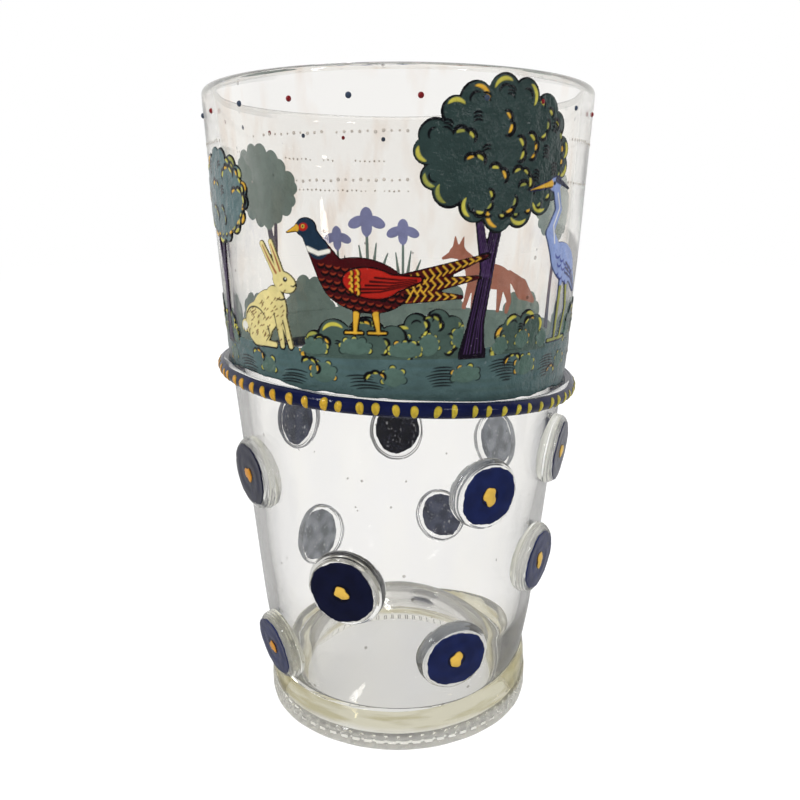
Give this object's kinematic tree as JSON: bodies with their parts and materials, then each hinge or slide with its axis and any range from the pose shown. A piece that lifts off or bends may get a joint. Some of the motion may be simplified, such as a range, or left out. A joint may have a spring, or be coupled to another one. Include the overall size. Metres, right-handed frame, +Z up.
{
  "type": "enamelled glass beaker",
  "caption": "Tall conical glass beaker with a painted woodland frieze, a slanted painted thread, enamelled glass discs and a milled foot ring.",
  "frame": {"origin": "centre of the circle that the foot ring stands on", "axes": "+Z up through the mouth; -Y towards the front of the frieze; +X to the front's right"},
  "size_m": [0.132, 0.1316, 0.22],
  "materials": {
    "clear_glass": "fire-polished, faintly grey, olive where it is thick",
    "navy_enamel": "glossy fired enamel, slightly uneven",
    "amber_enamel": "glossy fired enamel",
    "yellow_enamel": "glossy fired enamel",
    "grey_blue_enamel": "glossy fired enamel",
    "red_enamel": "glossy fired enamel",
    "slate_green_enamel": "glossy fired enamel with black and yellow strokes",
    "aubergine_enamel": "glossy fired enamel",
    "maroon_enamel": "glossy fired enamel",
    "pale_blue_enamel": "glossy fired enamel",
    "cream_enamel": "glossy fired enamel",
    "russet_enamel": "glossy fired enamel"
  },
  "bodies": {
    "root": {"beads_blue": "grey_blue_enamel", "beads_red": "red_enamel", "beaker_body": "clear_glass", "bushes": "slate_green_enamel", "disc_01": "clear_glass", "disc_01_enamel": "navy_enamel", "disc_02": "clear_glass", "disc_02_enamel": "navy_enamel", "disc_03": "clear_glass", "disc_03_enamel": "navy_enamel", "disc_04": "clear_glass", "disc_04_enamel": "navy_enamel", "disc_05": "clear_glass", "disc_05_enamel": "navy_enamel", "disc_06": "clear_glass", "disc_06_enamel": "navy_enamel", "disc_07": "clear_glass", "disc_07_enamel": "navy_enamel", "disc_08": "clear_glass", "disc_08_enamel": "navy_enamel", "disc_09": "clear_glass", "disc_09_enamel": "navy_enamel", "disc_10": "clear_glass", "disc_10_enamel": "navy_enamel", "disc_11": "clear_glass", "disc_11_enamel": "navy_enamel", "disc_12": "clear_glass", "disc_12_enamel": "navy_enamel", "disc_dots": "amber_enamel", "foot_ring": "clear_glass", "fox": "russet_enamel", "ground": "slate_green_enamel", "hare": "cream_enamel", "heron": "pale_blue_enamel", "iris_flowers": "pale_blue_enamel", "iris_leaves": "slate_green_enamel", "pheasant": "maroon_enamel", "pheasant_wing": "red_enamel", "thread": "clear_glass", "thread_dashes": "yellow_enamel", "thread_enamel": "navy_enamel", "tree_1_crown": "slate_green_enamel", "tree_1_trunk": "aubergine_enamel", "tree_2_crown": "slate_green_enamel", "tree_2_trunk": "aubergine_enamel", "tree_3_crown": "slate_green_enamel", "tree_3_trunk": "aubergine_enamel", "tree_4_crown": "slate_green_enamel", "tree_4_trunk": "aubergine_enamel"}
  },
  "joints": []
}
